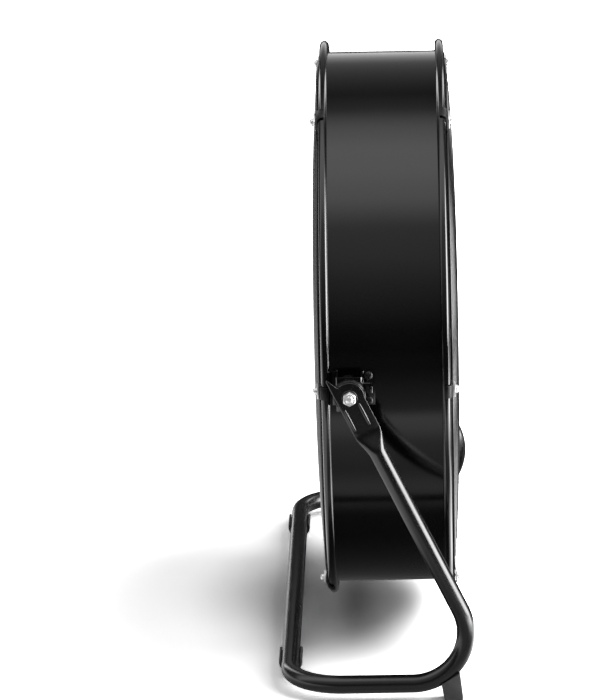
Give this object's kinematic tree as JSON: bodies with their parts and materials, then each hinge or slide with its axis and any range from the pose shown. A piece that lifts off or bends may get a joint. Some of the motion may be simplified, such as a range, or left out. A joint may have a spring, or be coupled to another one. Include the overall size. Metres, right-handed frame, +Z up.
{
  "type": "drum fan",
  "caption": "Floor-standing drum fan: a short round steel drum with wire grilles that tilts on a bent-tube stand, with a motor, blades and a speed switch.",
  "frame": {"origin": "on the floor, at the middle of the box round the whole fan", "axes": "+Z up; +Y the way the fan blows, along the drum's axis; +X along the tilt axis, to the side that the picture is taken from"},
  "size_m": [0.701, 0.2157, 0.653],
  "materials": {
    "drum_paint": "gloss black powder coat",
    "stand_paint": "semi-gloss black powder coat",
    "grille_wire": "gloss black powder coat",
    "black_nylon": "satin black moulding",
    "zinc_steel": "bright zinc plate",
    "black_steel": "blackened steel with a light sheen",
    "foot_rubber": "matt dark grey rubber",
    "motor_paint": "satin dark grey",
    "hub_paint": "satin dark grey",
    "blade_aluminium": "satin mill finish",
    "switch_plastic": "fine-grained black",
    "shaft_steel": "ground steel"
  },
  "bodies": {
    "stand": {"stand_tube": "stand_paint", "bar_foot_right": "foot_rubber", "bar_foot_left": "foot_rubber", "bend_foot_right": "foot_rubber", "bend_foot_left": "foot_rubber"},
    "drum": {"drum_shell": "drum_paint", "grille_front": "grille_wire", "grille_rear": "grille_wire", "clip_front_1": "black_nylon", "clip_front_2": "black_nylon", "clip_front_3": "black_nylon", "clip_front_4": "black_nylon", "clip_front_5": "black_nylon", "clip_front_6": "black_nylon", "clip_rear_1": "black_nylon", "clip_rear_2": "black_nylon", "clip_rear_3": "black_nylon", "clip_rear_4": "black_nylon", "clip_rear_5": "black_nylon", "clip_rear_6": "black_nylon", "clip_screw_front_1": "zinc_steel", "clip_screw_front_2": "zinc_steel", "clip_screw_front_3": "zinc_steel", "clip_screw_front_4": "zinc_steel", "clip_screw_front_5": "zinc_steel", "clip_screw_front_6": "zinc_steel", "clip_screw_rear_1": "zinc_steel", "clip_screw_rear_2": "zinc_steel", "clip_screw_rear_3": "zinc_steel", "clip_screw_rear_4": "zinc_steel", "clip_screw_rear_5": "zinc_steel", "clip_screw_rear_6": "zinc_steel", "pivot_bracket_right": "drum_paint", "pivot_bracket_left": "drum_paint", "friction_disc_right": "black_nylon", "friction_disc_left": "black_nylon", "pivot_bolt_right": "zinc_steel", "pivot_bolt_left": "zinc_steel", "pivot_washer_right": "black_steel", "pivot_washer_left": "black_steel", "pivot_nut_right": "zinc_steel", "pivot_nut_left": "zinc_steel", "motor_body": "motor_paint", "motor_bar_upper": "drum_paint", "motor_bar_lower": "drum_paint", "clamp_screw_right_upper": "black_steel", "clamp_screw_right_lower": "black_steel", "clamp_screw_left_upper": "black_steel", "clamp_screw_left_lower": "black_steel", "switch_housing": "switch_plastic", "cable_gland": "black_nylon"},
    "rotor": {"motor_shaft": "shaft_steel", "blade_hub": "hub_paint", "blade_1": "blade_aluminium", "blade_2": "blade_aluminium", "blade_3": "blade_aluminium"},
    "knob": {"switch_knob": "switch_plastic"}
  },
  "joints": [
    {"name": "drum_tilt", "type": "hinge", "parent": "stand", "child": "drum", "pos_m": [0, -0.02235, 0.343], "axis": [1, 0, 0], "range_deg": [-27, 108]},
    {"name": "fan_spin", "type": "hinge", "parent": "drum", "child": "rotor", "pos_m": [0, 0.01665, 0.34], "axis": [0, 1, 0], "continuous": true},
    {"name": "switch_turn", "type": "hinge", "parent": "drum", "child": "knob", "pos_m": [0, 0.01665, 0.34], "axis": [0, -1, 0], "range_deg": [0, 135]}
  ]
}
